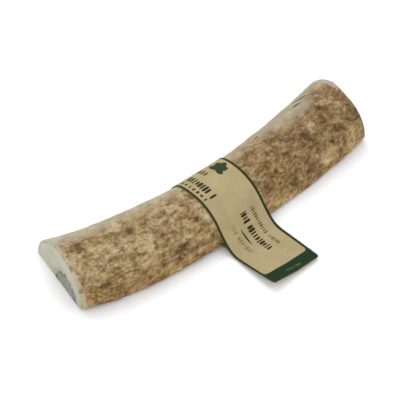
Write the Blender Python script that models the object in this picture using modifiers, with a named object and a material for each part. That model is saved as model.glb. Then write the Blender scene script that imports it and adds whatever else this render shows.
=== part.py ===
"""One half of an elk antler beam, split lengthwise and lying on its split face, in a loop of kraft card.

The antler runs along X, its outer bend and the card's glued flag point to -Y, and it rests on z = 0.
"""

import math

import bmesh
import bpy
from mathutils import Vector, noise

MM = 0.001

# The antler's middle line, measured between the middles of its two saw cuts
LENGTH = 170 * MM
AXIS_X = 1.03 * MM
AXIS_Y = 22.85 * MM

# Values at the left cut, a quarter, the middle, three quarters and the right cut, in millimetres. FAR_LOSS is
# how much narrower the side away from the flag is than the other side
STATIONS = (-1.0, -0.5, 0.0, 0.5, 1.0)
BOW = (0.0, 9.7, 10.7, 7.6, 0.0)
WIDTH = (44.1, 44.2, 42.0, 42.0, 44.9)
HEIGHT = (21.9, 20.8, 19.9, 19.85, 21.6)
FAR_LOSS = (0.0, 4.8, 6.4, 3.4, 0.0)

# The rounded back: 2 is an ellipse, more is squarer, less is leaner. Near is the flag's side
NEAR_POWER_CUT = 2.8
NEAR_POWER_MIDDLE = 1.95
FAR_POWER_CUT = 1.7
FAR_POWER_MIDDLE = 3.2

# Each saw cut's turn about Z from straight across, and where the beam starts turning into it
LEFT_CUT = math.radians(-10.5)
RIGHT_CUT = math.radians(-5.0)
CUT_START = 0.6

# The saw drifted a little, so the split face is hollow in the middle and flat near both ends
HOLLOW = 0.85 * MM
HOLLOW_END = 46 * MM
HOLLOW_FULL = 24 * MM

# Swells of the outline, and the pearls of the bark on them, lower where the card sits
SWELL = 0.35 * MM
SWELL_SIZE = 17 * MM
PEARL = 0.95 * MM
PEARL_SIZE = 5.5 * MM
PEARL_UNDER_CARD = 0.35

# Shallow grooves along the back: middle and half length as fractions of the half length, angle, depth
GROOVES = (
    (0.62, 0.36, math.radians(62), 0.55 * MM),
    (-0.55, 0.40, math.radians(99), 0.35 * MM),
    (0.45, 0.30, math.radians(126), 0.35 * MM),
)
GROOVE_SPREAD = math.radians(7)

# Mesh density of the cage that is subdivided once
RINGS = 46
BACK_SPANS = 20
FACE_SPANS = 2

# The card loop
CARD = 0.45 * MM
CARD_CLEARANCE = 1.1 * MM
BAND_WIDTH = 28.8 * MM
BAND_X = -2.2 * MM
BAND_TURN = math.radians(2.4)
LEAVE_HEIGHT = 13.0 * MM
ROOT_REACH = 9.3 * MM
ROOT_TOP = 1.3 * MM
LEAVE_FULLNESS = 0.45
ARRIVE_FULLNESS = 1.0
FLAG_LENGTH = 25.2 * MM
FLAG_RISE = math.radians(3.0)
FLAG_CORNER = 1.5 * MM
HUG_SPANS = 26
ROOT_SPANS = 9

BARK_COLOUR = (0.40, 0.30, 0.18, 1.0)
BONE_COLOUR = (0.47, 0.45, 0.37, 1.0)
KRAFT_COLOUR = (0.45, 0.37, 0.22, 1.0)


def along(values, t):
    """The smooth curve through the five station values, in metres, at t from -1 to 1."""
    total = 0.0
    for i, value in enumerate(values):
        share = 1.0
        for j, station in enumerate(STATIONS):
            if j != i:
                share *= (t - station) / (STATIONS[i] - station)
        total += share * value
    return total * MM


def tangent_angle(t):
    """The middle line's direction about Z."""
    step = 0.01
    rise = along(BOW, t - step) - along(BOW, t + step)
    return math.atan2(rise, step * LENGTH)


def section_turn(t):
    """A section stands square to the middle line, and turns into the saw cut near each end."""
    cut, end = (LEFT_CUT, -1.0) if t < 0 else (RIGHT_CUT, 1.0)
    blend = max(0.0, (abs(t) - CUT_START) / (1.0 - CUT_START)) ** 2
    return tangent_angle(t) + (cut - tangent_angle(end)) * blend


def face_height(x):
    """The split face's height: 0 near the ends, HOLLOW in the middle."""
    part = (HOLLOW_END - abs(x)) / (HOLLOW_END - HOLLOW_FULL)
    part = min(1.0, max(0.0, part))
    return HOLLOW * part * part * (3.0 - 2.0 * part)


def middle_share(t):
    """1 in the middle of the beam, 0 at its cuts."""
    return (1.0 - t * t) ** 2


def side_power(t, across):
    """How square the section is on this side: between the cuts the near side is rounder, the far side squarer."""
    if across < 0:
        return NEAR_POWER_CUT + (NEAR_POWER_MIDDLE - NEAR_POWER_CUT) * middle_share(t)
    return FAR_POWER_CUT + (FAR_POWER_MIDDLE - FAR_POWER_CUT) * middle_share(t)


def half_width(t, across):
    """The section's width on this side of the middle line."""
    half = along(WIDTH, t) / 2
    return half if across < 0 else half - along(FAR_LOSS, t)


def back_point(t, angle):
    """Sideways distance and height on the rounded back, from the far foot (0) to the near foot (pi)."""
    across, up = math.cos(angle), max(0.0, math.sin(angle))
    power = 2.0 / side_power(t, across)
    side = math.copysign(abs(across) ** power, across) * half_width(t, across)
    return side, up**power * along(HEIGHT, t)


def groove_depth(t, angle):
    """How deep the grooves cut at this place: each fades out at its ends and its sides."""
    depth = 0.0
    for middle, half_length, groove_angle, deepest in GROOVES:
        run = max(0.0, 1.0 - ((t - middle) / half_length) ** 2)
        depth += deepest * run * math.exp(-(((angle - groove_angle) / GROOVE_SPREAD) ** 2))
    return depth


def ring_points(t):
    """One section's outline: over the back from far foot to near foot, then home along the split face."""
    x = t * LENGTH / 2
    turn = section_turn(t)
    flat = []
    for k in range(BACK_SPANS + 1):
        angle = math.pi * k / BACK_SPANS
        side, z = back_point(t, angle)
        lift = SWELL * noise.noise(Vector((x, side, z)) / SWELL_SIZE) - groove_depth(t, angle)
        swell = 1.0 + lift / math.hypot(side, z)
        flat.append((side * swell, max(z * swell, face_height(x))))
    far, near = flat[0][0], flat[-1][0]
    for k in range(1, FACE_SPANS):
        flat.append((near + (far - near) * k / FACE_SPANS, face_height(x)))
    return [
        Vector((AXIS_X + x - math.sin(turn) * side, AXIS_Y - along(BOW, t) + math.cos(turn) * side, z))
        for side, z in flat
    ]


def make_material(name, colour, roughness):
    material = bpy.data.materials.new(name)
    material.use_nodes = True
    shader = material.node_tree.nodes["Principled BSDF"]
    shader.inputs["Base Color"].default_value = colour
    shader.inputs["Roughness"].default_value = roughness
    shader.inputs["Metallic"].default_value = 0.0
    material.diffuse_color = colour
    return material


def start_clean():
    for obj in list(bpy.data.objects):
        bpy.data.objects.remove(obj, do_unlink=True)


def place_ring(bm, order, face, t):
    """Moves a ring's vertices to their section."""
    points = ring_points(t)
    for vert in face.verts:
        vert.co = points[vert[order]]


def make_antler(collection):
    """A ring extruded from cut to cut, then subdivided, with pearls on the bark alone."""
    bm = bmesh.new()
    order = bm.verts.layers.int.new("order")
    sides = BACK_SPANS + FACE_SPANS
    first = bmesh.ops.create_circle(bm, cap_ends=True, segments=sides, radius=WIDTH[0] * MM)["verts"]
    for k, vert in enumerate(first):
        vert[order] = k
    bm.faces.ensure_lookup_table()
    face = bm.faces[0]
    place_ring(bm, order, face, -1.0)
    for k in range(1, RINGS + 1):
        made = bmesh.ops.extrude_face_region(bm, geom=[face])["geom"]
        if k > 1:
            bmesh.ops.delete(bm, geom=[face], context="FACES_ONLY")
        face = next(item for item in made if isinstance(item, bmesh.types.BMFace))
        place_ring(bm, order, face, -1.0 + 2.0 * k / RINGS)
    bmesh.ops.recalc_face_normals(bm, faces=bm.faces)

    crease = bm.edges.layers.float.new("crease_edge")
    ends = [face for face in bm.faces if len(face.verts) == sides]
    end_verts = {vert for face in ends for vert in face.verts}
    feet = (0, BACK_SPANS)
    for edge in bm.edges:
        on_foot = all(vert[order] in feet for vert in edge.verts) and FACE_SPANS > 1
        if on_foot or all(vert in end_verts for vert in edge.verts):
            edge[crease] = 1.0
    for face in bm.faces:
        face.smooth = face not in ends and any(0 < vert[order] < BACK_SPANS for vert in face.verts)
        face.material_index = 0 if face.smooth else 1
    bm.verts.index_update()
    bark = [vert for vert in bm.verts if 0 < vert[order] < BACK_SPANS and vert not in end_verts]
    under_card = [vert.index for vert in bark if abs(vert.co.x - AXIS_X - BAND_X) < 0.6 * BAND_WIDTH]
    bark = [vert.index for vert in bark]

    mesh = bpy.data.meshes.new("antler")
    bm.to_mesh(mesh)
    bm.free()
    antler = bpy.data.objects.new("antler", mesh)
    collection.objects.link(antler)
    mesh.materials.append(make_material("antler_bark", BARK_COLOUR, 0.6))
    mesh.materials.append(make_material("sawn_bone", BONE_COLOUR, 0.55))

    pearled = antler.vertex_groups.new(name="bark")
    pearled.add(bark, 1.0, "REPLACE")
    pearled.add(under_card, PEARL_UNDER_CARD, "REPLACE")
    subdivision = antler.modifiers.new("Subdivision", "SUBSURF")
    subdivision.levels = 1
    subdivision.render_levels = 1
    texture = bpy.data.textures.new("pearls", "VORONOI")
    texture.noise_scale = PEARL_SIZE
    pearls = antler.modifiers.new("Pearls", "DISPLACE")
    pearls.texture = texture
    pearls.texture_coords = "LOCAL"
    pearls.vertex_group = "bark"
    pearls.mid_level = 0.45
    pearls.strength = -PEARL
    return antler


def hug_line():
    """The card's inner line over the back, as (sideways, height), from the far foot to where it leaves."""
    t = 2 * BAND_X / LENGTH
    tall = 1 + CARD_CLEARANCE / along(HEIGHT, t)
    line = []
    for k in range(HUG_SPANS + 1):
        side, z = back_point(t, math.pi * k / HUG_SPANS)
        if side < 0 and z * tall < LEAVE_HEIGHT:
            break
        line.append(Vector((side * (1 + CARD_CLEARANCE / half_width(t, side)), z * tall)))
    return line


def root_line(start, direction, end, end_direction):
    """The card's free stretch from the antler's side down to the flag, as one smooth curve."""
    distance = (end - start).length
    line = []
    for k in range(1, ROOT_SPANS + 1):
        u = k / ROOT_SPANS
        line.append(
            start * (2 * u**3 - 3 * u**2 + 1)
            + direction * (LEAVE_FULLNESS * distance * (u**3 - 2 * u**2 + u))
            + end * (3 * u**2 - 2 * u**3)
            + end_direction * (ARRIVE_FULLNESS * distance * (u**3 - u**2))
        )
    return line


def pushed_out(line, distance):
    """The line moved sideways to its left by a distance."""
    moved = []
    for k, point in enumerate(line):
        step = line[min(k + 1, len(line) - 1)] - line[max(k - 1, 0)]
        moved.append(point + Vector((step.y, -step.x)).normalized() * distance)
    return moved


def card_outlines():
    """The loop's outer outline with the flag, and the hole that the antler fills, in the section's plane."""
    hug = hug_line()
    half = -half_width(2 * BAND_X / LENGTH, -1.0) - CARD_CLEARANCE
    outward = Vector((-math.cos(FLAG_RISE), math.sin(FLAG_RISE)))
    root_top = Vector((half - ROOT_REACH, ROOT_TOP))
    tip_top = root_top + outward * FLAG_LENGTH
    upper = hug + root_line(hug[-1], (hug[-1] - hug[-2]).normalized(), root_top - Vector((0, CARD)), outward)
    upper[0] = Vector((upper[0].x, CARD))
    outer_upper = pushed_out(upper, CARD)
    outer_upper[0] = Vector((outer_upper[0].x, 0.0))
    root_low = root_top - Vector((0, 2 * CARD))
    tip_low = tip_top - Vector((0, 2 * CARD))
    rise_start = Vector((half, 0.0))
    lower = [rise_start] + root_line(rise_start, Vector((-1, 0)), root_low, outward)
    outer = outer_upper + [tip_top, tip_low] + lower[::-1]
    hole = upper[:-1] + [point + Vector((0, CARD)) for point in lower[::-1]]
    return outer, hole


def make_label_band(collection):
    """The outline is extruded to the band's width, and the flag's two corners are rounded."""
    curve = bpy.data.curves.new("label_band", "CURVE")
    curve.dimensions = "2D"
    curve.fill_mode = "BOTH"
    curve.extrude = BAND_WIDTH / 2
    for outline in card_outlines():
        spline = curve.splines.new("POLY")
        spline.points.add(len(outline) - 1)
        for point, place in zip(spline.points, outline):
            point.co = (place.x, place.y, 0.0, 1.0)
        spline.use_cyclic_u = True
    flat = bpy.data.objects.new("label_outline", curve)
    collection.objects.link(flat)
    t = 2 * BAND_X / LENGTH
    flat.rotation_euler = (math.pi / 2, 0.0, math.pi / 2 + BAND_TURN)
    flat.location = (AXIS_X + BAND_X, AXIS_Y - along(BOW, t), 0.0)
    bpy.context.view_layer.update()

    mesh = bpy.data.meshes.new_from_object(flat.evaluated_get(bpy.context.evaluated_depsgraph_get()))
    band = bpy.data.objects.new("label_band", mesh)
    collection.objects.link(band)
    band.matrix_world = flat.matrix_world
    bpy.data.objects.remove(flat, do_unlink=True)

    bm = bmesh.new()
    bm.from_mesh(mesh)
    bmesh.ops.remove_doubles(bm, verts=bm.verts, dist=0.01 * MM)
    tip = min(vert.co.x for vert in bm.verts)
    corners = []
    for edge in bm.edges:
        upright = abs(edge.verts[0].co.z - edge.verts[1].co.z) < 0.01 * MM
        if upright and all(vert.co.x < tip + 0.2 * MM for vert in edge.verts):
            corners.append(edge)
    bmesh.ops.bevel(
        bm, geom=corners, offset=FLAG_CORNER, offset_type="OFFSET", segments=3, profile=0.5, affect="EDGES"
    )
    bmesh.ops.recalc_face_normals(bm, faces=bm.faces)
    bm.to_mesh(mesh)
    bm.free()
    mesh.materials.clear()
    mesh.materials.append(make_material("kraft_card", KRAFT_COLOUR, 0.7))
    mesh.shade_smooth()
    mesh.set_sharp_from_angle(angle=math.radians(35))
    return band


def main():
    start_clean()
    collection = bpy.data.collections.new("split_elk_antler")
    bpy.context.scene.collection.children.link(collection)
    make_antler(collection)
    make_label_band(collection)


main()
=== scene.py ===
"""The look of half an elk antler beam, lying on its split face in a loop of kraft card, on a white floor."""
import math

import bmesh
import bpy
import numpy as np
from mathutils import Matrix, Vector, noise


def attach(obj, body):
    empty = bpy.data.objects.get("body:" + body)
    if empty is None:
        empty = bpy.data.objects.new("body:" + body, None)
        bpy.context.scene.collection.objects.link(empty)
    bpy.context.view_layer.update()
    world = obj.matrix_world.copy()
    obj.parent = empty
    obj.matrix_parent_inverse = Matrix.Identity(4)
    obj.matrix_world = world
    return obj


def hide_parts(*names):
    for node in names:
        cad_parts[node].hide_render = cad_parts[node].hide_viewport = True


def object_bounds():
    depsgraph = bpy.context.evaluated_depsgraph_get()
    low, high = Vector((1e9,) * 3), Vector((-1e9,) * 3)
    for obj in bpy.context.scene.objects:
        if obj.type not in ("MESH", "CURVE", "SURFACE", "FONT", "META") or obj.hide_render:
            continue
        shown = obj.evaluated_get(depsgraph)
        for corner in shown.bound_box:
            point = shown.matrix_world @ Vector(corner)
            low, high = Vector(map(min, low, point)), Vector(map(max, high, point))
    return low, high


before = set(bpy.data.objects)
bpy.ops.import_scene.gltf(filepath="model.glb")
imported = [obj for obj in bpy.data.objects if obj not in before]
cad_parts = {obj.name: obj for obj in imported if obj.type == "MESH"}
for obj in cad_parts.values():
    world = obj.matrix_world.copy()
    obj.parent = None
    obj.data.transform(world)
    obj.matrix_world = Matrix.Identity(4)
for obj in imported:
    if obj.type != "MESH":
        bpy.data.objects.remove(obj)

CAD_BOX = [list(corner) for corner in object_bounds()]
MM = 0.001

# The antler's middle line and sections, as the solids have them
LENGTH = 170 * MM
AXIS_X = 1.03 * MM
AXIS_Y = 22.85 * MM
STATIONS = (-1.0, -0.5, 0.0, 0.5, 1.0)
BOW = (0.0, 9.7, 10.7, 7.6, 0.0)
WIDTH = (44.1, 44.2, 42.0, 42.0, 44.9)
HEIGHT = (21.9, 20.8, 19.9, 19.85, 21.6)
# How much narrower the far side is than half the width, and how square each side is
FAR_LOSS = (0.0, 4.8, 6.4, 3.4, 0.0)
NEAR_POWER_CUT = 2.8
NEAR_POWER_MIDDLE = 1.95
FAR_POWER_CUT = 1.7
FAR_POWER_MIDDLE = 3.2
LEFT_CUT = math.radians(-10.5)
RIGHT_CUT = math.radians(-5.0)
CUT_START = 0.6
HOLLOW = 0.85 * MM
HOLLOW_END = 46 * MM
HOLLOW_FULL = 24 * MM
SWELL = 0.35 * MM
SWELL_SIZE = 17 * MM
SWELL_CORE = 9 * MM
GROOVES = (
    (0.62, 0.36, math.radians(62), 0.55 * MM),
    (-0.55, 0.40, math.radians(99), 0.35 * MM),
    (0.45, 0.30, math.radians(126), 0.35 * MM),
)
GROOVE_SPREAD = math.radians(7)

# The cage: rings from cut to cut, spans over the back and across the split face
RINGS = 42
BACK_SPANS = 20
FACE_SPANS = 6
SIDES = BACK_SPANS + FACE_SPANS
FINE_LEVELS = 3
RIM_SHARPNESS = 0.52

# The near side tucks under above the split face, and the cut edges are worn round
TUCK = ((-1.0, 4.0), (-0.5, 3.2), (0.0, 2.2), (0.4, 1.0), (0.7, 3.0), (1.0, 4.4))
LEFT_WEAR = ((0, 0.2), (30, 1.0), (60, 1.8), (110, 0.9), (180, 1.2))
RIGHT_WEAR = ((0, 0.3), (60, 0.3), (120, 0.7), (150, 1.3), (180, 1.9))
# How much further the left cut's far side and the right cut's near foot and far shoulder reach
LEFT_REACH = 0.6 * MM
RIGHT_FOOT_REACH = 2.7 * MM
RIGHT_TOP_REACH = 0.8 * MM
RIGHT_TOP_START = -10 * MM
RIGHT_TOP_FULL = 2 * MM
FOOT_REACH_POWER = 0.75
REACH_START = 0.85

# Relief of the bark: how large its cells are and how far they lift
PEARL_SIZE = 5.5 * MM
PEARL = 0.95 * MM
PEARL_UNDER_CARD = 0.12
FAR_SIDE_RELIEF = 0.3
FINE_PEARL_SIZE = 2.4 * MM
FINE_PEARL = 0.42 * MM
GRAIN_SIZE = 1.1 * MM
GRAIN = 0.16 * MM
BARK_FADE = 2.0 * MM
ROUGH_FROM = 24 * MM
ROUGH_FULL = 33 * MM

# The marrow on the cut faces: a half ellipse on the split face, as shares of the half width
MARROW_MIDDLE = -0.30
MARROW_HALF = 0.52
MARROW_HEIGHT = 11.0 * MM
PORE_SIZE = 0.9 * MM
PORE_DEPTH = 0.45 * MM

# The card
CARD = 0.3 * MM
CARD_GAP = 0.14 * MM
PLY_GAP = 0.03 * MM
BAND_WIDTH = 28.8 * MM
BAND_X = -2.2 * MM
BAND_TURN = math.radians(2.4)
LEAVE_HEIGHT = 13.0 * MM
ROOT_REACH = 9.3 * MM
ROOT_TOP = 1.15 * MM
LEAVE_FULLNESS = 0.45
ARRIVE_FULLNESS = 1.0
FLAG_LENGTH = 24.7 * MM
FLAG_RISE = math.radians(3.0)
FLAG_TWIST = 2.4 * MM
FLAG_DROP = 0.5 * MM
TWIST_POWER = 1.3
FLAG_CORNER = 1.5 * MM
FOOT_BEND = 1.2 * MM
# The lower ply lies a little askew: (distance from the flag's tip, shift)
ASKEW = ((0.0, 0.2), (24.7, 0.5), (34.0, 1.8), (78.0, 0.0))
BAND_COLUMNS = 12
HUG_SPANS = 44
ROOT_SPANS = 14
FLAG_ROWS = 14
CORNER_ROWS = 6
BEND_ROWS = 6
FLOOR_ROWS = 12

# The camera, at the photograph's angle
VIEW_AZIMUTH = math.radians(-40.25)
VIEW_ELEVATION = math.radians(45.0)
VIEW_DISTANCE = 0.9
VIEW_TARGET = Vector((-1.6, 21.8, 0.0)) * MM
VIEW_LENS = 171.1

# Floor, sky and light
FLOOR_WHITE = (0.95, 0.95, 0.95, 1.0)
SKY_COLOUR = (0.985, 0.995, 1.015, 1.0)
SKY_STRENGTH = 1.11
LIGHT_PLACE = (0.3, 0.95, 1.5)
LIGHT_TARGET = (0.0, 0.02, 0.0)
LIGHT_SIZE = 1.2
LIGHT_POWER = 7.0

# Print on the card, in its own plane: across from the middle, and along from the flag's tip
BORDER = 1.2 * MM
INK_SOFTNESS = 0.08 * MM
PRINT_SHIFT = -0.12 * MM
STRIP_DEPTH = 6.9 * MM
STRIP_SLANT = -0.02
WINDOW_CORNER = 1.7 * MM
# Each row of plain marks: start, end, middle, height and pitch in mm, then slant, fill and ink
MARK_ROWS = (
    (67.0, 74.0, -0.2, 3.6, 1.9, 0.0, 0.75, 0.9),
    (54.4, 72.5, -7.2, 4.2, 1.75, 0.0, 0.95, 0.95),
    (54.6, 72.5, -11.4, 2.0, 2.6, 0.0, 0.6, 0.85),
    (18.4, 41.6, 7.1, 2.3, 1.25, 0.0, 0.75, 0.75),
    (18.6, 41.6, 1.5, 3.9, 1.6, 0.0, 0.95, 0.95),
    (22.8, 38.8, -6.1, 2.6, 1.45, -0.045, 0.65, 0.45),
)
# The pale row on the end strip, which runs across the card
PALE_ROW = (-3.7, 5.2, -3.0, 1.5, 1.4, 0.08, 0.8, 0.5)
# A sprig of leaves: each one's angle, then its length, width and foot in mm
SPRIG_PLACE = (7.4 * MM, 67.2 * MM)
SPRIG = (
    (0, 5.4, 3.8, -0.6, 0.0), (48, 5.2, 3.6, -0.9, -0.2), (-48, 5.2, 3.6, -0.9, 0.2),
    (100, 4.7, 3.2, -1.3, -0.1), (-100, 4.7, 3.2, -1.3, 0.1), (180, 4.4, 1.0, 0.6, 0.0),
)
SWOOSH_FOOT = (-2.8 * MM, 25.8 * MM)
SWOOSH_ANGLE = math.radians(94)
SWOOSH_LENGTH = 10 * MM
SWOOSH_WIDTH = 0.95 * MM
# Dark weathered streaks in the bark: place (along, around), angle, length, width
STREAKS = (
    ((62.0 * MM, 19.8 * MM), 0.08, 5.8 * MM, 1.2 * MM),
    ((65.0 * MM, 17.4 * MM), 0.2, 9.0 * MM, 1.4 * MM),
    ((32.5 * MM, 21.0 * MM), 0.0, 3.4 * MM, 1.0 * MM),
)
# Where the zone of pale bark past the crown grows narrower: start and end of the step, and its size
PALE_STEPS = ((10 * MM, 24 * MM, 3 * MM), (36 * MM, 50 * MM, -3 * MM), (64 * MM, 74 * MM, 6 * MM))
# Patches of darker and of paler bark: along, around, half length, half width
DARK_PATCHES = (
    (-38, 51, 8, 4), (-66, 41, 3, 2), (-72, 52, 4, 2.5), (-77, 31, 4, 2), (-54, 31, 6, 1.6),
    (49, 38, 6, 5), (38, 39, 5, 4), (65, 34, 6, 3), (70, 44, 5, 3), (27, 45, 5, 3),
)
PALE_PATCHES = ((-18, 38, 3, 7), (-60, 46, 6, 3), (-48, 40, 5, 3), (58, 54, 7, 4), (-82, 28, 2, 5))
PATCH_RAGGEDNESS = 0.9
# How far the worn, cream rim reaches from each cut, and the far side's zone of pale bark
LEFT_RIM = 1.3 * MM
LEFT_RIM_NEAR = 1.0 * MM
LEFT_RIM_FAR = 5.5 * MM
RIGHT_RIM = 0.2 * MM
RIGHT_RIM_FAR = 2.4 * MM
RIM_SOFTNESS = 0.6 * MM
RIM_GREY_EDGE = (34 * MM, 22 * MM)
PALE_EDGE = (28.5 * MM, 19.5 * MM)
PALE_SHIFT_RIGHT = -1.5 * MM
FOOT_EDGE = (47 * MM, 60 * MM)
SAW_MARKS = 5.0 * MM
# The bark's tone, from 0 dark to 1 pale: its level, and what each feature adds
TONE_LEFT = 0.62
TONE_RIGHT = -0.15
FOOT_TONE_LEFT = -0.06
FOOT_TONE_RIGHT = 0.22
BLOTCH_TONE = -0.20
PIT_TONE = -0.13
RELIEF_TONE = 0.08
DARK_PATCH_TONE = -0.13
PALE_PATCH_TONE = 0.10
# Blotches and pits: size and cover, and how most marks are longer along the beam
BLOTCHES = (4.2 * MM, 0.6)
PITS = (2.0 * MM, 0.55)
STRETCH = (0.65, 1.0, 1.0)


def along(values, t):
    """The smooth curve through the five station values, in metres, at t from -1 to 1."""
    total = 0.0
    for i, value in enumerate(values):
        share = 1.0
        for j, station in enumerate(STATIONS):
            if j != i:
                share = share * (t - station) / (STATIONS[i] - station)
        total = total + share * value
    return total * MM


def tangent_angle(t):
    """The middle line's direction about Z."""
    step = 0.01
    return np.arctan2(along(BOW, t - step) - along(BOW, t + step), step * LENGTH)


def section_turn(t):
    """A section stands square to the middle line, and turns into the saw cut near each end."""
    blend = np.maximum(0.0, (np.abs(t) - CUT_START) / (1.0 - CUT_START)) ** 2
    miss = np.where(t < 0, LEFT_CUT - tangent_angle(-1.0), RIGHT_CUT - tangent_angle(1.0))
    return tangent_angle(t) + miss * blend


def face_height(x):
    """The split face's height: 0 near the ends, HOLLOW in the middle."""
    return HOLLOW * smooth_step(HOLLOW_END - np.abs(x), 0.0, HOLLOW_END - HOLLOW_FULL)


def middle_share(t):
    """1 in the middle of the beam, 0 at its cuts."""
    return (1.0 - t * t) ** 2


def side_power(t, across):
    """How square the section is on this side: in the middle rounder on the near one, squarer on the far."""
    near = NEAR_POWER_CUT + (NEAR_POWER_MIDDLE - NEAR_POWER_CUT) * middle_share(t)
    far = FAR_POWER_CUT + (FAR_POWER_MIDDLE - FAR_POWER_CUT) * middle_share(t)
    return np.where(across < 0, near, far)


def half_width(t, across):
    """The section's width on this side of the middle line."""
    return along(WIDTH, t) / 2 - np.where(across < 0, 0.0, along(FAR_LOSS, t))


def back_point(t, angle):
    """Sideways distance and height on the rounded back, from the far foot (0) to the near foot (pi)."""
    across, up = math.cos(angle), max(0.0, math.sin(angle))
    power = 2.0 / float(side_power(t, across))
    side = math.copysign(abs(across) ** power, across) * float(half_width(t, across))
    return side, up**power * along(HEIGHT, t)


def groove_depth(t, angle):
    """How deep the grooves cut at this place: each fades out at its ends and its sides."""
    depth = 0.0
    for middle, half_length, groove_angle, deepest in GROOVES:
        run = np.maximum(0.0, 1.0 - ((t - middle) / half_length) ** 2)
        depth = depth + deepest * run * np.exp(-(((angle - groove_angle) / GROOVE_SPREAD) ** 2))
    return depth


def middle_point(t):
    """The middle line's point on the floor."""
    return Vector((AXIS_X + t * LENGTH / 2, AXIS_Y - float(along(BOW, t)), 0.0))


def section_place(t, side, height):
    """The world point at a sideways distance and a height in the section at t."""
    turn = float(section_turn(t))
    return middle_point(t) + Vector((-math.sin(turn) * side, math.cos(turn) * side, height))


def smooth_step(value, low, high):
    part = np.clip((value - low) / (high - low), 0.0, 1.0)
    return part * part * (3.0 - 2.0 * part)


def vectors_of(items, field):
    values = np.empty(len(items) * 3, np.float32)
    items.foreach_get(field, values)
    return values.reshape(-1, 3).astype(float)


def move_points(mesh, points):
    mesh.vertices.foreach_set("co", np.array(points, np.float32).ravel())
    mesh.update()


def give_attribute(mesh, name, values, kind="FLOAT"):
    layer = mesh.attributes.new(name, kind, "POINT")
    field = "value" if kind == "FLOAT" else "vector"
    layer.data.foreach_set(field, np.asarray(values, np.float32).ravel())


def give_group(piece, name, weights):
    group = piece.vertex_groups.new(name=name)
    for index, weight in enumerate(weights):
        if weight > 0.0:
            group.add([index], float(weight), "REPLACE")


def give_materials(mesh, materials):
    mesh.materials.clear()
    for material in materials:
        mesh.materials.append(material)


def apply_modifier(piece, name, kind, **settings):
    modifier = piece.modifiers.new(name, kind)
    for setting, value in settings.items():
        setattr(modifier, setting, value)
    bpy.ops.object.modifier_apply(modifier=modifier.name)


def roughen(piece, name, size, group, level, lift, depth=None):
    """Moves the group's surface by a pattern of this size: cells, or clouds where a depth is given."""
    texture = bpy.data.textures.new(name, "CLOUDS" if depth else "VORONOI")
    texture.noise_scale = size
    if depth:
        texture.noise_depth = depth
    apply_modifier(
        piece, name, "DISPLACE", texture=texture, texture_coords="LOCAL",
        vertex_group=group, mid_level=level, strength=lift,
    )


def start_piece(name):
    """The new primitive takes its name and is edited from here on."""
    piece = bpy.context.active_object
    piece.name = name
    piece.data.name = name
    bpy.ops.object.mode_set(mode="EDIT")
    return piece


def select_none(shape):
    for item in (*shape.faces, *shape.edges, *shape.verts):
        item.select = False


def select_edges(shape, wanted):
    bpy.context.tool_settings.mesh_select_mode = (False, True, False)
    select_none(shape)
    for edge in shape.edges:
        if wanted(edge):
            edge.select = True


def beam_places(points):
    """Each point's place on the beam: t along it, sideways distance, and angle over the back."""
    t = (points[:, 0] - AXIS_X) / (LENGTH / 2)
    for _ in range(8):
        turn = section_turn(t)
        away_x = points[:, 0] - AXIS_X - t * LENGTH / 2
        away_y = points[:, 1] - AXIS_Y + along(BOW, t)
        t = t + (away_x * np.cos(turn) + away_y * np.sin(turn)) / (LENGTH / 2)
    turn = section_turn(t)
    away_x = points[:, 0] - AXIS_X - t * LENGTH / 2
    away_y = points[:, 1] - AXIS_Y + along(BOW, t)
    side = away_y * np.cos(turn) - away_x * np.sin(turn)
    inside = np.clip(t, -1.0, 1.0)
    power = side_power(inside, side) / 2
    level = np.maximum(points[:, 2] / along(HEIGHT, t), 0.0) ** power
    reach = np.sign(side) * np.abs(side / half_width(inside, side)) ** power
    return t, side, np.arctan2(level, reach)


def model_cage():
    """A D-shaped ring drawn out from cut to cut, turned and resized on the way, with both ends filled."""
    bpy.ops.mesh.primitive_circle_add(vertices=SIDES, radius=LENGTH / 8, fill_type="NOTHING")
    cage = start_piece("antler_half")
    shape = bmesh.from_edit_mesh(cage.data)
    order = shape.verts.layers.int.new("order")
    shape.verts.ensure_lookup_table()
    for k, vert in enumerate(shape.verts):
        vert[order] = k + 1
        if k <= BACK_SPANS:
            side, height = back_point(-1.0, math.pi * k / BACK_SPANS)
        else:
            side, height = float(along(WIDTH, -1.0)) * ((k - BACK_SPANS) / FACE_SPANS - 0.5), 0.0
        vert.co = middle_point(-1.0) + Vector((0.0, side, height))
    bmesh.update_edit_mesh(cage.data)
    bpy.ops.mesh.select_all(action="SELECT")
    # With no window the operator turns the other way, hence the minus sign
    bpy.ops.transform.rotate(value=-LEFT_CUT, orient_axis="Z", center_override=middle_point(-1.0))
    for k in range(RINGS):
        here, there = -1.0 + 2.0 * k / RINGS, -1.0 + 2.0 * (k + 1) / RINGS
        centre = middle_point(there)
        step = centre - middle_point(here)
        wider = float(along(WIDTH, there) / along(WIDTH, here))
        taller = float(along(HEIGHT, there) / along(HEIGHT, here))
        turn = float(section_turn(there) - section_turn(here))
        bpy.ops.mesh.extrude_region_move(TRANSFORM_OT_translate={"value": step})
        bpy.ops.transform.resize(value=(wider, wider, taller), center_override=centre)
        bpy.ops.transform.rotate(value=-turn, orient_axis="Z", center_override=centre)
    shape_rings(cage)
    for end in (-1.0, 1.0):
        fill_end(cage, end)
    bpy.ops.mesh.select_all(action="SELECT")
    bpy.ops.mesh.normals_make_consistent(inside=False)
    return cage


def ring_numbers(shape):
    """For each vertex of an extruded ring, its number around it, and the ring's number from the left cut."""
    order = shape.verts.layers.int["order"]
    return {vert: (vert[order] - 1, vert.index // SIDES) for vert in shape.verts if vert[order] > 0}


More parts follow.
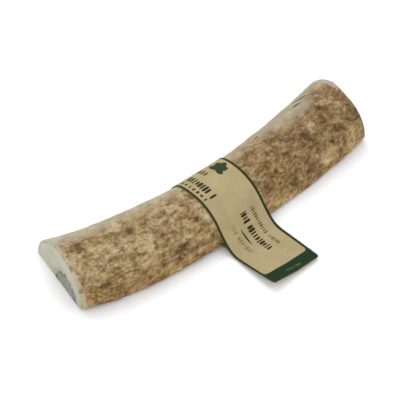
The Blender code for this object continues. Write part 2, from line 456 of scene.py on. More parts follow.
def shape_rings(cage):
    """Each drawn-out ring gets its own section, which isn't the same shape as at the cuts."""
    shape = bmesh.from_edit_mesh(cage.data)
    shape.verts.index_update()
    for vert, (place, ring) in ring_numbers(shape).items():
        t = -1.0 + 2.0 * ring / RINGS
        side, height = back_point(t, math.pi * min(place, BACK_SPANS) / BACK_SPANS)
        if place > BACK_SPANS:
            side += (back_point(t, 0.0)[0] - side) * (place - BACK_SPANS) / FACE_SPANS
        vert.co = section_place(t, side, height)
    bmesh.update_edit_mesh(cage.data)


def fill_end(cage, end):
    """A grid across a saw cut, between the split face's edge and as many spans at the top."""
    shape = bmesh.from_edit_mesh(cage.data)
    shape.verts.index_update()
    numbers = ring_numbers(shape)
    wanted_ring = 0 if end < 0 else RINGS
    top_start = (BACK_SPANS - FACE_SPANS) // 2

    def is_filled(edge):
        if any(vert not in numbers or numbers[vert][1] != wanted_ring for vert in edge.verts):
            return False
        low, high = sorted(numbers[vert][0] for vert in edge.verts)
        on_face = low >= BACK_SPANS or (low == 0 and high == SIDES - 1)
        return on_face or (top_start <= low and high <= top_start + FACE_SPANS)

    select_edges(shape, is_filled)
    bmesh.update_edit_mesh(cage.data)
    bpy.ops.mesh.fill_grid(span=1)
    shape = bmesh.from_edit_mesh(cage.data)
    order = shape.verts.layers.int["order"]
    for vert in shape.verts:
        if vert.index >= SIDES * (RINGS + 1) or vert.index < 0:
            vert[order] = 0


def swell_at(x, side, height):
    """How far the broad swells lift the bark here."""
    return SWELL * noise.noise(Vector((x, side, height)) / SWELL_SIZE)


def swell_and_groove(cage):
    """The broad swells, the long grooves and the split face's hollow, as the solid has them."""
    shape = bmesh.from_edit_mesh(cage.data)
    points = np.array([vert.co for vert in shape.verts])
    t, side, angle = beam_places(points)
    depth = groove_depth(t, angle)
    on_face = points[:, 2] < 1e-7
    for vert, along_beam, across, groove, low in zip(shape.verts, t, side, depth, on_face):
        x = along_beam * LENGTH / 2
        radius = math.hypot(across, vert.co.z)
        if vert.is_boundary or radius < SWELL_CORE:
            lift = 0.0
        else:
            lift = swell_at(x, across, vert.co.z) - (0.0 if low else groove)
        grown = 1.0 + lift / max(radius, SWELL_CORE)
        height = max(vert.co.z * grown, float(face_height(x)))
        vert.co = section_place(along_beam, across * grown, height)
    bmesh.update_edit_mesh(cage.data)


def ease_rims(cage):
    """The saw rims and the two long edges are slightly rounded by the subdivision."""
    shape = bmesh.from_edit_mesh(cage.data)
    shape.normal_update()
    select_edges(shape, lambda edge: edge.calc_face_angle(0.0) > math.radians(50))
    bmesh.update_edit_mesh(cage.data)
    bpy.ops.transform.edge_crease(value=RIM_SHARPNESS)
    bpy.ops.object.mode_set(mode="OBJECT")


def rounding(distance, radius):
    """How far a rounded edge lies back, at a distance from where the sharp edge would be."""
    left = np.maximum(0.0, radius - distance)
    return radius - np.sqrt(np.maximum(radius**2 - left**2, 0.0))


def station_curve(pairs, places):
    """The value between the given (place, value) pairs."""
    return np.interp(places, [place for place, _ in pairs], [value for _, value in pairs])


def wear_edges(piece):
    """The near foot tucks under, and the cut edges are rounded, all inside the solid."""
    points = vectors_of(piece.data.vertices, "co")
    t, side, angle = beam_places(points)
    t = np.clip(t, -1.0, 1.0)
    base = face_height(t * LENGTH / 2)
    low = points[:, 2] - base
    tuck = np.where(side < 0, rounding(low, station_curve(TUCK, t) * MM), 0.0)
    squeeze = 1.0 - tuck / (along(WIDTH, t) / 2)
    turned = np.degrees(angle)
    wear = np.where(t < 0, station_curve(LEFT_WEAR, turned), station_curve(RIGHT_WEAR, turned)) * MM
    back = rounding((1.0 - np.abs(t)) * LENGTH / 2, wear)
    worn = 1.0 - back / np.hypot(along(WIDTH, t) / 2 * np.cos(angle), along(HEIGHT, t) * np.sin(angle))
    turn = section_turn(t)
    side_now = side * squeeze * worn
    points[:, 0] += np.sin(turn) * (side - side_now)
    points[:, 1] -= np.cos(turn) * (side - side_now)
    points[:, 2] = np.where(low > 0.0, base + low * worn, points[:, 2])
    share = side / along(WIDTH, t)
    up = np.clip(points[:, 2] / along(HEIGHT, t), 0.0, 1.0)
    foot = RIGHT_FOOT_REACH * (0.5 - share) * (1.0 - up) ** FOOT_REACH_POWER
    top = RIGHT_TOP_REACH * up * up * smooth_step(side, RIGHT_TOP_START, RIGHT_TOP_FULL)
    reach = np.where(t < 0, -LEFT_REACH * (0.5 + share), foot + top)
    reach = reach * smooth_step(np.abs(t), REACH_START, 1.0)
    points[:, 0] += np.cos(turn) * reach
    points[:, 1] += np.sin(turn) * reach
    move_points(piece.data, points)
    return t, side, angle


def refine_marrow(piece):
    """The marrow on both saw cuts gets smaller faces, so that its pores are real pits."""
    bpy.ops.object.mode_set(mode="EDIT")
    shape = bmesh.from_edit_mesh(piece.data)
    select_none(shape)
    centres = np.array([face.calc_center_median() for face in shape.faces])
    t, side, _ = beam_places(centres)
    inside = marrow_depth(t, side, centres[:, 2]) > -0.1
    for face, place, held in zip(shape.faces, t, inside):
        if held and abs(place) > 1.0 - 0.1 * MM / LENGTH and abs(face.normal.x) > 0.9:
            face.select = True
    shape.select_flush_mode()
    bmesh.update_edit_mesh(piece.data)
    bpy.ops.mesh.subdivide(number_cuts=1)
    bpy.ops.object.mode_set(mode="OBJECT")


def marrow_depth(t, side, height):
    """1 at the marrow's middle, 0 at its edge and less outside."""
    across = (2 * side / along(WIDTH, t) - MARROW_MIDDLE) / MARROW_HALF
    return 1.0 - np.sqrt(across**2 + (height / MARROW_HEIGHT) ** 2)


def dress_antler_mesh(piece, t, side, angle):
    """Relief on the bark, pores in the marrow, and the attributes that the materials read."""
    mesh = piece.data
    points = vectors_of(mesh.vertices, "co")
    from_end = (1.0 - np.abs(t)) * LENGTH / 2
    above_face = points[:, 2] - face_height(t * LENGTH / 2)
    bark = smooth_step(above_face, 0.1 * MM, BARK_FADE) * smooth_step(from_end, 0.2 * MM, BARK_FADE)
    beyond_card = np.abs(t * LENGTH / 2 - BAND_X) - BAND_WIDTH / 2
    pressed = 1.0 - (1.0 - PEARL_UNDER_CARD) * (1.0 - smooth_step(beyond_card, 0.5 * MM, 2.0 * MM))
    cut = 1.0 - smooth_step(above_face, 0.0, 0.3 * MM) * smooth_step(from_end, 0.0, 0.3 * MM)
    marrow = marrow_depth(t, side, points[:, 2])
    ragged = np.array([noise.noise(Vector(point) / (4 * MM)) for point in points])
    samples = np.linspace(0.0, math.pi, 241)
    outline = np.array([back_point(0.0, sample) for sample in samples])
    arc = np.concatenate([[0.0], np.cumsum(np.hypot(*np.diff(outline, axis=0).T))])
    around = np.interp(angle, samples, arc)
    rough = FAR_SIDE_RELIEF + (1.0 - FAR_SIDE_RELIEF) * smooth_step(around, ROUGH_FROM, ROUGH_FULL)
    give_group(piece, "bark", bark * rough * pressed)
    give_group(piece, "marrow", cut * smooth_step(marrow + 0.12 * ragged, 0.0, 0.15))

    roughen(piece, "Pearls", PEARL_SIZE, "bark", 0.32, -PEARL)
    coarse = vectors_of(mesh.vertices, "co")
    roughen(piece, "Fine pearls", FINE_PEARL_SIZE, "bark", 0.35, -FINE_PEARL)
    roughen(piece, "Grain", GRAIN_SIZE, "bark", 0.5, GRAIN, 2)
    roughen(piece, "Pores", PORE_SIZE, "marrow", 0.75, PORE_DEPTH, 1)
    settled = vectors_of(mesh.vertices, "co")
    lifted = ((settled - coarse) * vectors_of(mesh.vertex_normals, "vector")).sum(1)
    settled[:, 2] = np.clip(settled[:, 2], 0.0, CAD_BOX[1][2])
    move_points(mesh, settled)
    give_attribute(mesh, "relief", lifted / (FINE_PEARL / 2))
    give_attribute(mesh, "place", np.stack([t * LENGTH / 2, around, 0 * t], 1), "FLOAT_VECTOR")
    give_attribute(mesh, "from_end", from_end)
    give_attribute(mesh, "marrow_depth", marrow)


def make_antler(materials):
    cage = model_cage()
    swell_and_groove(cage)
    ease_rims(cage)
    apply_modifier(
        cage, "Subdivision", "SUBSURF", levels=FINE_LEVELS, render_levels=FINE_LEVELS,
        boundary_smooth="PRESERVE_CORNERS",
    )
    refine_marrow(cage)
    sawn = sawn_faces(cage)
    places = wear_edges(cage)
    dress_antler_mesh(cage, *places)
    give_materials(cage.data, materials)
    cage.data.polygons.foreach_set("material_index", sawn)
    cage.data.shade_smooth()
    cage.data.update()
    return cage


def sawn_faces(piece):
    """1 for the faces of the split face and the saw cuts, 0 for the bark."""
    normals = vectors_of(piece.data.polygons, "normal")
    t, _, _ = beam_places(vectors_of(piece.data.polygons, "center"))
    at_end = (np.abs(t) > 1.0 - 1.2 * MM / LENGTH) & (np.abs(normals[:, 0]) > 0.9)
    return (at_end | (normals[:, 2] < -0.9)).astype(np.int32)


def beam_surface(t, angle, clear):
    """A world point a little clear of the bark, at t along the beam and this angle over its back."""
    side, height = back_point(t, angle)
    side = side * (1.0 + clear / float(half_width(t, side)))
    height = height * (1.0 + clear / float(along(HEIGHT, t)))
    return section_place(t, side, height)


def free_stretch(start, start_way, end, end_way):
    """The card's free curve between two places, leaving and arriving in the given directions."""
    distance = (end - start).length
    line = []
    for k in range(1, ROOT_SPANS):
        u = k / ROOT_SPANS
        line.append(
            start * (2 * u**3 - 3 * u**2 + 1)
            + start_way * (LEAVE_FULLNESS * distance * (u**3 - 2 * u**2 + u))
            + end * (3 * u**2 - 2 * u**3)
            + end_way * (ARRIVE_FULLNESS * distance * (u**3 - u**2))
        )
    return line


def card_line():
    """The card's middle line as (sideways, height), from the flag's tip round the beam and back to the tip.

    Each point also has its angle over the back, or None, and how much it follows the bark, from 0 to 1.
    """
    t = 2 * BAND_X / LENGTH
    clear = CARD_GAP + CARD / 2
    tall = 1 + clear / float(along(HEIGHT, t))
    hug = []
    for k in range(HUG_SPANS + 1):
        angle = math.pi * k / HUG_SPANS
        side, up = back_point(t, angle)
        if side < 0 and up * tall < LEAVE_HEIGHT:
            break
        if up * tall > FOOT_BEND + CARD:
            hug.append((Vector((side * (1 + clear / float(half_width(t, side))), up * tall)), angle))
    far, near = float(half_width(t, 1.0)) + clear, -float(half_width(t, -1.0)) - clear
    outward = Vector((-math.cos(FLAG_RISE), math.sin(FLAG_RISE)))
    root = Vector((near - ROOT_REACH, ROOT_TOP - CARD / 2))
    root_low = root - Vector((0.0, CARD + PLY_GAP))
    steps = [corner_step(k) for k in range(CORNER_ROWS)]
    steps += list(np.linspace(FLAG_CORNER, FLAG_LENGTH, FLAG_ROWS))
    line = [(root + outward * (FLAG_LENGTH - step), None, 0.0) for step in steps]
    leave, leave_way = hug[-1][0], (hug[-1][0] - hug[-2][0]).normalized()
    down = free_stretch(leave, leave_way, root, outward)
    line += [(point, None, 1.0 - (k + 1) / ROOT_SPANS) for k, point in enumerate(down)][::-1]
    line += [(point, angle, 1.0) for point, angle in hug[::-1]]
    floor = CARD / 2 + PLY_GAP
    for k in range(1, BEND_ROWS + 1):
        turn = 0.5 * math.pi * k / BEND_ROWS
        bend = Vector((far - FOOT_BEND * (1 - math.cos(turn)), floor + FOOT_BEND * (1 - math.sin(turn))))
        line.append((bend, None, 0.0))
    line += [(Vector((side, floor)), None, 0.0) for side in np.linspace(far - 3 * MM, near, FLOOR_ROWS)]
    rise = free_stretch(Vector((near, floor)), Vector((-1.0, 0.0)), root_low, outward)
    line += [(point, None, 0.0) for point in rise]
    line += [(root_low + outward * (FLAG_LENGTH - step), None, 0.0) for step in steps[::-1]]
    return line


def corner_step(k):
    """Rows close together in the flag's rounded corners, the first one at the tip."""
    return FLAG_CORNER * (1.0 - math.cos(0.5 * math.pi * k / CORNER_ROWS))


def row_half_width(from_tip):
    """The band's half width, less in the rounded corners at the tip."""
    miss = max(0.0, FLAG_CORNER - from_tip)
    return BAND_WIDTH / 2 - FLAG_CORNER + math.sqrt(FLAG_CORNER**2 - miss**2)


def model_band(line):
    """A strip drawn out row by row along the line, narrower in the tip's rounded corners."""
    origin = middle_point(2 * BAND_X / LENGTH)
    lengths = [0.0]
    for (here, _, _), (there, _, _) in zip(line, line[1:]):
        lengths.append(lengths[-1] + (there - here).length)
    halves = [row_half_width(min(reach, lengths[-1] - reach)) for reach in lengths]
    first, second = (origin + Vector((0.0, point.x, point.y)) for point, _, _ in line[:2])
    bpy.ops.mesh.primitive_grid_add(
        x_subdivisions=BAND_COLUMNS, y_subdivisions=1, size=2.0, location=(first + second) / 2,
    )
    band = start_piece("label_loop")
    shape = bmesh.from_edit_mesh(band.data)
    column = shape.verts.layers.int.new("column")
    shape.verts.ensure_lookup_table()
    for index, vert in enumerate(shape.verts):
        vert[column] = round((vert.co.x + 1.0) * BAND_COLUMNS / 2)
        row = 0 if index <= BAND_COLUMNS else 1
        place = (first, second)[row] - (first + second) / 2
        vert.co = Vector((vert.co.x * halves[row], place.y, place.z))
    bmesh.update_edit_mesh(band.data)
    select_edges(shape, lambda edge: all(vert.index > BAND_COLUMNS for vert in edge.verts))
    bmesh.update_edit_mesh(band.data)
    for k in range(2, len(line)):
        step = line[k][0] - line[k - 1][0]
        centre = origin + Vector((0.0, line[k][0].x, line[k][0].y))
        bpy.ops.mesh.extrude_edges_move(TRANSFORM_OT_translate={"value": (0.0, step.x, step.y)})
        bpy.ops.transform.resize(value=(halves[k] / halves[k - 1], 1.0, 1.0), center_override=centre)
    bpy.ops.object.mode_set(mode="OBJECT")
    bpy.ops.object.transform_apply(location=True, rotation=True, scale=True)
    return band, lengths


def settle_band(band, line, lengths):
    """The straight strip turns to its angle, follows the bark, and its flag lifts at one corner."""
    mesh = band.data
    origin = middle_point(2 * BAND_X / LENGTH)
    columns = BAND_COLUMNS + 1
    turning = Matrix.Rotation(BAND_TURN, 3, "Z")
    along_beam = turning @ Vector((1.0, 0.0, 0.0))
    points, places = [], []
    for index, vert in enumerate(mesh.vertices):
        row = index // columns
        place = vert.co - origin
        points.append(origin + turning @ place)
        places.append((place.x, lengths[row], 0.0))
    hugged = [k for k, (_, angle, _) in enumerate(line) if angle is not None]
    shifts = {}
    for row in hugged:
        for place in range(row * columns, (row + 1) * columns):
            t = 2 * (BAND_X + places[place][0]) / LENGTH
            lift = swell_at(t * LENGTH / 2, *back_point(t, line[row][1]))
            shift = beam_surface(t, line[row][1], CARD_GAP + CARD / 2 + lift) - points[place]
            shifts[place] = shift - along_beam * shift.dot(along_beam)
    for index in range(len(points)):
        row, column = divmod(index, columns)
        follow = line[row][2]
        if index in shifts:
            points[index] += shifts[index]
        elif follow > 0.0:
            points[index] += shifts[hugged[0] * columns + column] * follow**2
        flat = lengths[row] if row < len(line) / 2 else lengths[-1] - lengths[row]
        if row > len(line) / 2:
            points[index] += along_beam * float(station_curve(ASKEW, flat / MM)) * MM
        if flat < FLAG_LENGTH:
            share = places[index][0] / (BAND_WIDTH / 2)
            most = FLAG_TWIST if share < 0 else FLAG_DROP
            lift = -share * most * (1.0 - flat / FLAG_LENGTH) ** TWIST_POWER
            points[index] += Vector((0.0, 0.0, lift))
    give_attribute(mesh, "card_place", places, "FLOAT_VECTOR")
    move_points(mesh, points)


def make_band(materials):
    line = card_line()
    band, lengths = model_band(line)
    settle_band(band, line, lengths)
    give_materials(band.data, materials)
    apply_modifier(
        band, "Card", "SOLIDIFY", thickness=CARD, offset=0.0, use_even_offset=True,
        material_offset=1, material_offset_rim=2,
    )
    bpy.ops.object.shade_smooth_by_angle(angle=math.radians(40))
    return band


def screen(red, green, blue):
    """A colour as it shows on a screen, 0 to 255, as the shader wants it."""
    parts = [value / 255 for value in (red, green, blue)]
    parts = [part / 12.92 if part <= 0.04045 else ((part + 0.055) / 1.055) ** 2.4 for part in parts]
    return (*parts, 1.0)


BARK_TONES = (
    (0.00, screen(60, 37, 10)),
    (0.25, screen(95, 67, 30)),
    (0.45, screen(129, 103, 64)),
    (0.60, screen(154, 131, 96)),
    (0.78, screen(177, 158, 125)),
    (1.00, screen(200, 185, 153)),
)
TINT_OCHRE = (1.0, 0.83, 0.50, 1.0)
TINT_RUDDY = (1.0, 0.85, 0.72, 1.0)
TINT_OLIVE = (0.95, 1.0, 0.80, 1.0)
TINT_SLATE = (0.88, 0.92, 1.05, 1.0)
BARK_PALE = screen(168, 161, 138)
RIM_CREAM = screen(186, 173, 141)
RIM_GREY = screen(168, 160, 141)
STREAK_BROWN = screen(84, 68, 46)
BONE_PALE = screen(182, 176, 157)
BONE_GREEN = screen(167, 165, 147)
MARROW_GREY = screen(142, 138, 122)
PORE_DARK = screen(88, 85, 72)
KRAFT_LIGHT = screen(173, 158, 119)
KRAFT_DEEP = screen(144, 129, 91)
KRAFT_FIBRE = screen(112, 94, 60)
KRAFT_STRAW = screen(180, 164, 124)
KRAFT_EDGE = screen(92, 90, 56)
INK_GREEN = screen(23, 45, 20)
INK_BORDER = screen(36, 46, 15)
INK_BROWN = screen(26, 15, 5)
INK_PALE = screen(96, 112, 84)


class Value:
    """A number, vector or colour that a shader node gives. Arithmetic on a number adds math nodes."""

    def __init__(self, socket):
        self.socket = socket
        self.tree = socket.id_data

    def __add__(self, other):
        return calc("ADD", self, other)

    def __sub__(self, other):
        return calc("SUBTRACT", self, other)

    def __mul__(self, other):
        return calc("MULTIPLY", self, other)

    def __truediv__(self, other):
        return calc("DIVIDE", self, other)

    def __rtruediv__(self, other):
        return calc("DIVIDE", other, self)

    def __pow__(self, power):
        return calc("POWER", self, power)

    def __abs__(self):
        return calc("ABSOLUTE", self)


def fill_input(socket, value):
    """Links a Value to the input, or sets a plain one. None leaves the input as it is."""
    if isinstance(value, Value):
        value.tree.links.new(value.socket, socket)
    elif value is not None:
        socket.default_value = value


def add_node(tree, kind, *values, **settings):
    """A node with its settings. The values fill its open inputs in order."""
    node = tree.nodes.new(kind)
    for setting, value in settings.items():
        setattr(node, setting, value)
    for socket, value in zip([socket for socket in node.inputs if socket.enabled], values):
        fill_input(socket, value)
    return node


def result(kind, *values, **settings):
    """The first open output of a new node, in the tree that the values come from."""
    tree = next(value.tree for value in values if isinstance(value, Value))
    node = add_node(tree, kind, *values, **settings)
    return Value(next(socket for socket in node.outputs if socket.enabled))


def calc(operation, *values):
    return result("ShaderNodeMath", *values, operation=operation)


def calc_vector(operation, *values):
    return result("ShaderNodeVectorMath", *values, operation=operation)


def split(vector):
    """The vector's X and its Y."""
    node = add_node(vector.tree, "ShaderNodeSeparateXYZ", vector)
    return Value(node.outputs[0]), Value(node.outputs[1])


def hypotenuse(x, y):
    return calc("SQRT", x**2.0 + y**2.0)


def together(masks):
    """Several masks as one: the largest at each place."""
    total = masks[0]
    for mask in masks[1:]:
        total = calc("MAXIMUM", total, mask)
    return total


def rotated(place, angle):
    """The place turned about Z."""
    return result("ShaderNodeVectorRotate", place, None, angle, rotation_type="Z_AXIS")


def fade(value, low, high):
    """0 at low and 1 at high, smooth between them. Low may be the larger one."""
    return result("ShaderNodeMapRange", value, low, high, interpolation_type="SMOOTHSTEP")


def blend(mask, under, over, blend_type="MIX"):
    return result("ShaderNodeMix", mask, under, over, data_type="RGBA", blend_type=blend_type)


def colour_ramp(value, stops):
    ramp = add_node(value.tree, "ShaderNodeValToRGB", value)
    elements = ramp.color_ramp.elements
    while len(elements) < len(stops):
        elements.new(0.5)
    for element, (position, colour) in zip(elements, stops):
        element.position = position
        element.color = colour
    return Value(ramp.outputs["Color"])


def cloud(place, size, detail=2.0, roughness=0.5):
    """Soft noise from 0 to 1 with blotches of about this size in metres."""
    return result("ShaderNodeTexNoise", place, 1.0 / size, detail, roughness)


def swing(place, size, reach, detail=2.0, roughness=0.5):
    """Soft noise that goes this far to both sides of zero."""
    return (cloud(place, size, detail, roughness) - 0.5) * (2 * reach)


def object_place(tree):
    return Value(add_node(tree, "ShaderNodeTexCoord").outputs["Object"])


def attribute(tree, name, output="Fac"):
    """A number or a vector that the mesh carries at each point."""
    return Value(add_node(tree, "ShaderNodeAttribute", attribute_name=name).outputs[output])


def start_material(name):
    material = bpy.data.materials.new(name)
    material.use_nodes = True
    return material, material.node_tree


def finish_material(material, colour, roughness, specular, height, distance, strength):
    """Gives the shader its colour, its gloss, and a bump of this height, distance and strength."""
    tree = material.node_tree
    shader = tree.nodes["Principled BSDF"].inputs
    bump = add_node(tree, "ShaderNodeBump")
    fill_input(bump.inputs["Strength"], strength)
    fill_input(bump.inputs["Distance"], distance)
    fill_input(bump.inputs["Height"], height)
    fill_input(shader["Base Color"], colour)
    fill_input(shader["Roughness"], roughness)
    fill_input(shader["Specular IOR Level"], specular)
    fill_input(shader["Normal"], Value(bump.outputs["Normal"]))
    return material


def start_group(name, *titles):
    """A node group that makes a mask from a place and the numbers with these titles."""
    tree = bpy.data.node_groups.new(name, "ShaderNodeTree")
    tree.interface.new_socket("Mask", in_out="OUTPUT", socket_type="NodeSocketFloat")
    tree.interface.new_socket("Place", in_out="INPUT", socket_type="NodeSocketVector")
    for title in titles:
        tree.interface.new_socket(title, in_out="INPUT", socket_type="NodeSocketFloat")
    given = tree.nodes.new("NodeGroupInput").outputs
    return [Value(given[title]) for title in ("Place", *titles)]


def finish_group(mask):
    fill_input(mask.tree.nodes.new("NodeGroupOutput").inputs["Mask"], mask)


def use_group(name, place, *values):
    node = place.tree.nodes.new("ShaderNodeGroup")
    node.node_tree = bpy.data.node_groups[name]
    for socket, value in zip(node.inputs, (place, *values)):
        fill_input(socket, value)
    return Value(node.outputs[0])


def make_mottle():
    """Soft irregular blotches: more of them where the level is lower."""
    place, size, level, softness = start_group("mottle", "Size", "Level", "Softness")
    finish_group(fade(cloud(place, size, 3.0, 0.55), level - softness, level + softness))


def make_speckle():
    """Ragged spots, no two of the same size: one pattern of cells, seen through soft noise."""
    place, size, cover = start_group("speckle", "Size", "Cover")
    soft = add_node(place.tree, "ShaderNodeTexNoise", place, 1.0 / size * 1.7, 2.0, 0.6).outputs["Color"]
    wobble = calc_vector("SUBTRACT", Value(soft), (0.5, 0.5, 0.5))
    cells = add_node(place.tree, "ShaderNodeTexVoronoi", calc_vector("ADD", place, wobble), 1.0).outputs
    chance = result("ShaderNodeSeparateColor", Value(cells["Color"]))
    radius = cover * (chance * 0.8 + 0.2)
    finish_group(fade(Value(cells["Distance"]), radius, radius - 0.22))


def make_lens():
    """A pointed oval on the surface, from one tip at the origin to the other along X."""
    place, length, width = start_group("lens", "Length", "Width")
    radius = (length**2.0 + width**2.0) / (width * 4.0)
    x, y = split(place)
    distance = hypotenuse(x - length * 0.5, abs(y) + (radius - width * 0.5))
    finish_group(fade(distance - radius, 0.06 * MM, -0.06 * MM))


def make_patch():
    """A soft oval patch with a ragged edge, around a centre."""
    titles = ("Along", "Around", "Half length", "Half width", "Wobble")
    place, centre_x, centre_y, half_x, half_y, wobble = start_group("patch", *titles)
    x, y = split(place)
    distance = hypotenuse((x - centre_x) / half_x, (y - centre_y) / half_y)
    finish_group(fade(distance + wobble, 1.3, 0.3))


def make_mark_row():
    """A row of plain rounded bars of uneven width and height along Y, with a gap here and there."""
    titles = ("Start", "End", "Middle", "Slant", "Height", "Pitch", "Fill")
    place, start, end, middle, slant, height, pitch, fill = start_group("mark_row", *titles)
    x, y = split(place)
    from_start = y - start
    run = from_start / pitch
    number = calc("FLOOR", run)
    seed = calc("MULTIPLY_ADD", start, 4999.0, number)
    chance = result("ShaderNodeTexWhiteNoise", seed, noise_dimensions="1D")
    other_chance = calc("FRACT", chance * 7.3)
    half_wide = fill * (chance * 0.34 + 0.22)
    half_tall = height * (other_chance * 0.2 + 0.36)
    wide = (abs(calc("FRACT", run) - 0.5) / half_wide) ** 3.0
    tall = (abs(x - (slant * from_start + middle)) / half_tall) ** 3.0
    bar = fade(wide + tall, 1.15, 0.75)
    there = calc("GREATER_THAN", chance, 0.08)
    inside = calc("GREATER_THAN", number, -0.5) * calc("LESS_THAN", y, end)
    finish_group(bar * there * inside)


def lens_at(place, start, angle, length, width):
    """A lens whose first tip is at start, a place on the surface, turned by an angle."""
    return use_group("lens", rotated(calc_vector("SUBTRACT", place, (*start, 0.0)), -angle), length, width)


def patches(place, wobble, places):
    """The places' patches as one mask."""
    return together([use_group("patch", place, *(size * MM for size in row), wobble) for row in places])


def worn_rim(lengthwise, around, from_end, ragged):
    """The cream rim along the saw cuts, wide on the far side and widening to the left cut's near foot."""
    left = fade(around, 25 * MM, 18 * MM) * LEFT_RIM_FAR + LEFT_RIM
    left = left + fade(around, 36 * MM, 60 * MM) * LEFT_RIM_NEAR
    right = fade(around, 33 * MM, 26 * MM) * RIGHT_RIM_FAR + RIGHT_RIM
    reach = left + (right - left) * calc("GREATER_THAN", lengthwise, 0.0)
    return fade(from_end + ragged - reach, RIM_SOFTNESS, -RIM_SOFTNESS)


def bark_tone(here, place, relief, right, foot):
    """How pale the bark is, from 0 to 1: soft noise, blotches, pits, pearls and patches together."""
    stretched = calc_vector("MULTIPLY", place, STRETCH)
    tone = right * TONE_RIGHT + TONE_LEFT
    tone = tone + swing(here, 9 * MM, 0.3)
    tone = tone + swing(stretched, 3.2 * MM, 0.45, 2.0, 0.6)
    tone = tone + swing(here, 1.5 * MM, 0.275, 1.0)
    tone = tone + use_group("speckle", stretched, *BLOTCHES) * BLOTCH_TONE
    tone = tone + use_group("speckle", stretched, *PITS) * PIT_TONE
    tone = tone + calc("MAXIMUM", relief, -1.0) * RELIEF_TONE
    tone = tone + foot * (right * FOOT_TONE_RIGHT + FOOT_TONE_LEFT)
    wobble = swing(here, 2.6 * MM, PATCH_RAGGEDNESS, 2.0, 0.6)
    tone = tone + patches(place, wobble, DARK_PATCHES) * DARK_PATCH_TONE
    return tone + patches(place, wobble, PALE_PATCHES) * PALE_PATCH_TONE


def tinted(colour, here, place):
    """The bark's colour with soft ruddy, olive, slate and ochre areas."""
    stretched = calc_vector("MULTIPLY", place, STRETCH)
    tints = (
        (TINT_RUDDY, 0.45, here, 6 * MM, 0.55), (TINT_OLIVE, 0.8, stretched, 7 * MM, 0.5),
        (TINT_SLATE, 0.3, stretched, 5 * MM, 0.57), (TINT_OCHRE, 0.4, place, 4 * MM, 0.59),
    )
    for tint, strength, where, size, level in tints:
        colour = blend(use_group("mottle", where, size, level, 0.07) * strength, colour, tint, "MULTIPLY")
    return colour


def make_bark():
    """Dry pearled bark: tan with brown blotches, pale past the crown and ochre at the near foot."""
    material, tree = start_material("antler_bark")
    here = object_place(tree)
    place = attribute(tree, "place", "Vector")
    lengthwise, around = split(place)
    wander = swing(here, 9 * MM, 10 * MM, 3.0)
    ragged = swing(here, 3 * MM, 2.5 * MM, 3.0, 0.6)
    right = fade(lengthwise + wander, -5 * MM, 35 * MM)
    past_crown = around + right * PALE_SHIFT_RIGHT + wander * 0.3
    for start, end, size in PALE_STEPS:
        past_crown = past_crown + fade(lengthwise, start, end) * size
    pale = fade(past_crown + ragged, *PALE_EDGE)
    foot = fade(around + wander, *FOOT_EDGE)

    colour = colour_ramp(bark_tone(here, place, attribute(tree, "relief"), right, foot), BARK_TONES)
    colour = tinted(colour, here, place)
    ochre = foot * use_group("mottle", here, 5 * MM, 0.42, 0.12)
    colour = blend(ochre * 0.75, colour, TINT_OCHRE, "MULTIPLY")
    colour = blend(pale * 0.6, colour, BARK_PALE)

    rim = worn_rim(lengthwise, around, attribute(tree, "from_end"), ragged * 0.6)
    colour = blend(rim * 0.8, colour, blend(fade(around, *RIM_GREY_EDGE), RIM_CREAM, RIM_GREY))
    stains = rim * use_group("mottle", here, 4 * MM, 0.6, 0.05)
    colour = blend(stains * 0.6, colour, STREAK_BROWN)
    for streak in STREAKS:
        colour = blend(lens_at(place, *streak) * 0.9, colour, STREAK_BROWN)
    grain = cloud(here, 0.55 * MM, 2.0, 0.6)
    colour = calc_vector("MULTIPLY", colour, grain * 0.4 + 0.8)
    height = cloud(here, 0.7 * MM, 3.0, 0.6)
    return finish_material(material, colour, grain * 0.3 + 0.45, 0.3, height, 0.25 * MM, 0.6)


def make_sawn_bone():
    """Sawn bone: pale and dense outside, grey and porous in the marrow, with faint saw marks, and painted
    shade along the marrow's edge.
    """
    material, tree = start_material("sawn_bone")
    here = object_place(tree)
    inside = attribute(tree, "marrow_depth") + swing(here, 2.2 * MM, 0.25, 3.0)
    core = fade(inside, 0.0, 0.2)
    pores = use_group("speckle", here, 1.0 * MM, 0.62) * core
    # Painted shade: a ragged dark band along the marrow's edge, standing in for the shadow under the dense
    # bone's wall.
    marrow_edge_shade = fade(inside, -0.12, 0.02) * fade(inside, 0.45, 0.2)
    marrow_edge_shade = marrow_edge_shade * use_group("mottle", here, 2.6 * MM, 0.5, 0.08)
    colour = blend(use_group("mottle", here, 8 * MM, 0.5, 0.15), BONE_PALE, BONE_GREEN)
    colour = blend(core * 0.9, colour, MARROW_GREY)
    colour = blend(pores * 0.6, colour, PORE_DARK)
    colour = blend(marrow_edge_shade * 0.85, colour, PORE_DARK)
    colour = calc_vector("MULTIPLY", colour, cloud(here, 0.6 * MM, 2.0, 0.6) * 0.16 + 0.92)
    marks = {"wave_type": "BANDS", "bands_direction": "DIAGONAL"}
    saw = Value(add_node(tree, "ShaderNodeTexWave", here, 1.0 / SAW_MARKS, 1.5, 2.0, **marks).outputs["Fac"])
    return finish_material(material, colour, 0.55, 0.5, saw * 0.25 - pores, 0.2 * MM, 0.5)


def kraft_colour(here):
    """Brown card: soft clouds, and darker and lighter fibres."""
    colour = blend(cloud(here, 14 * MM, 3.0), KRAFT_LIGHT, KRAFT_DEEP)
    colour = blend(use_group("mottle", here, 7 * MM, 0.5, 0.15) * 0.5, colour, KRAFT_STRAW)
    fibres = calc_vector("MULTIPLY", here, (1.0, 0.3, 1.0))
    colour = blend(use_group("speckle", fibres, 0.55 * MM, 0.38) * 0.35, colour, KRAFT_FIBRE)
    return blend(use_group("mottle", fibres, 0.5 * MM, 0.62, 0.06) * 0.3, colour, KRAFT_STRAW)


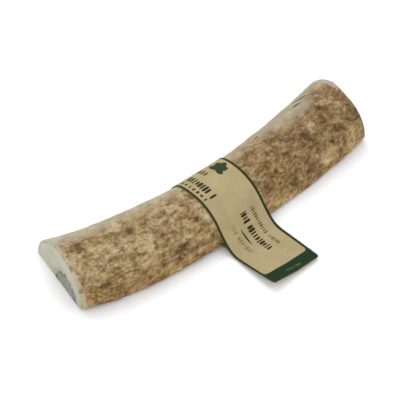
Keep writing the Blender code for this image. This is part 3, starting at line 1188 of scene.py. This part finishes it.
def green_trim(across, from_tip):
    """The border lines and the end strip: all that lies outside a window with rounded lower corners."""
    side = abs(across - PRINT_SHIFT) - (BAND_WIDTH / 2 - BORDER - WINDOW_CORNER)
    down = across * STRIP_SLANT + (STRIP_DEPTH + WINDOW_CORNER) - from_tip
    beyond = hypotenuse(calc("MAXIMUM", side, 0.0), calc("MAXIMUM", down, 0.0))
    miss = beyond + calc("MINIMUM", calc("MAXIMUM", side, down), 0.0)
    return fade(miss, WINDOW_CORNER - INK_SOFTNESS, WINDOW_CORNER + INK_SOFTNESS)


def with_marks(colour, place, row, ink):
    """The colour with a row of plain marks printed on it."""
    *sizes, slant, fill, strength = row
    start, end, middle, height, pitch = (size * MM for size in sizes)
    marks = use_group("mark_row", place, start, end, middle, slant, height, pitch, fill)
    return blend(marks * strength, colour, ink)


def make_card_face():
    """The outer face: green border lines, a green end strip and plain marks."""
    material, tree = start_material("printed_kraft")
    here = object_place(tree)
    place = attribute(tree, "card_place", "Vector")
    across, from_tip = split(place)
    green = green_trim(across, from_tip)
    in_strip = fade(from_tip, STRIP_DEPTH + WINDOW_CORNER, STRIP_DEPTH - WINDOW_CORNER)
    colour = blend(green, kraft_colour(here), blend(in_strip, INK_BORDER, INK_GREEN))

    for row in MARK_ROWS:
        colour = with_marks(colour, place, row, INK_BROWN)
    swoosh = lens_at(place, SWOOSH_FOOT, SWOOSH_ANGLE, SWOOSH_LENGTH, SWOOSH_WIDTH)
    colour = blend(swoosh * 0.9, colour, INK_BROWN)
    leaves = []
    for angle, *sizes in SPRIG:
        length, width, step_x, step_y = (size * MM for size in sizes)
        foot = (SPRIG_PLACE[0] + step_x, SPRIG_PLACE[1] + step_y)
        leaves.append(lens_at(place, foot, math.radians(angle), length, width))
    colour = blend(together(leaves) * 0.95, colour, INK_GREEN)
    colour = with_marks(colour, rotated(place, math.radians(90)), PALE_ROW, INK_PALE)
    gloss = green * -0.15 + 0.62
    return finish_material(material, colour, gloss, 0.1, cloud(here, 0.35 * MM), 0.05 * MM, 0.4)


def make_card_back(name, inked):
    """Bare card on the inner face. The cut edges took some of the border's ink."""
    material, tree = start_material(name)
    here = object_place(tree)
    colour = blend(inked, kraft_colour(here), KRAFT_EDGE)
    return finish_material(material, colour, 0.75, 0.2, cloud(here, 0.3 * MM), 0.06 * MM, 0.5)


def place_looking(name, data, place, target):
    """A new object in the scene that looks from its place at the target."""
    holder = bpy.data.objects.new(name, data)
    bpy.context.scene.collection.objects.link(holder)
    holder.location = place
    holder.rotation_euler = (Vector(target) - Vector(place)).to_track_quat("-Z", "Y").to_euler()
    return holder


def make_camera():
    camera = bpy.data.cameras.new("view")
    camera.lens = VIEW_LENS
    camera.sensor_width = 36.0
    camera.clip_start = 0.05
    camera.clip_end = 20.0
    back = Vector((
        math.sin(VIEW_AZIMUTH) * math.cos(VIEW_ELEVATION),
        -math.cos(VIEW_AZIMUTH) * math.cos(VIEW_ELEVATION),
        math.sin(VIEW_ELEVATION),
    ))
    place = VIEW_TARGET + back * VIEW_DISTANCE
    bpy.context.scene.camera = place_looking("view", camera, place, VIEW_TARGET)


def make_stage():
    bpy.ops.mesh.primitive_plane_add(size=6.0, location=(0.0, 0.0, -0.05 * MM))
    floor = bpy.context.active_object
    floor.name = "floor"
    material, tree = start_material("white_floor")
    fill_input(tree.nodes["Principled BSDF"].inputs["Base Color"], FLOOR_WHITE)
    floor.data.materials.append(material)
    world = bpy.data.worlds.new("studio")
    world.use_nodes = True
    background = world.node_tree.nodes["Background"].inputs
    background["Color"].default_value = SKY_COLOUR
    background["Strength"].default_value = SKY_STRENGTH
    bpy.context.scene.world = world
    light = bpy.data.lights.new("top_light", "AREA")
    light.shape = "DISK"
    light.size = LIGHT_SIZE
    light.energy = LIGHT_POWER
    place_looking("top_light", light, LIGHT_PLACE, LIGHT_TARGET)
    bpy.context.scene.view_settings.view_transform = "Standard"


make_camera()
make_stage()
for make_group in (make_mottle, make_speckle, make_lens, make_patch, make_mark_row):
    make_group()
antler = make_antler([make_bark(), make_sawn_bone()])
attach(antler, "root")
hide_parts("antler")
band = make_band([make_card_face(), make_card_back("kraft_inside", 0.0), make_card_back("kraft_edge", 0.8)])
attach(band, "root")
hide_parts("label_band")
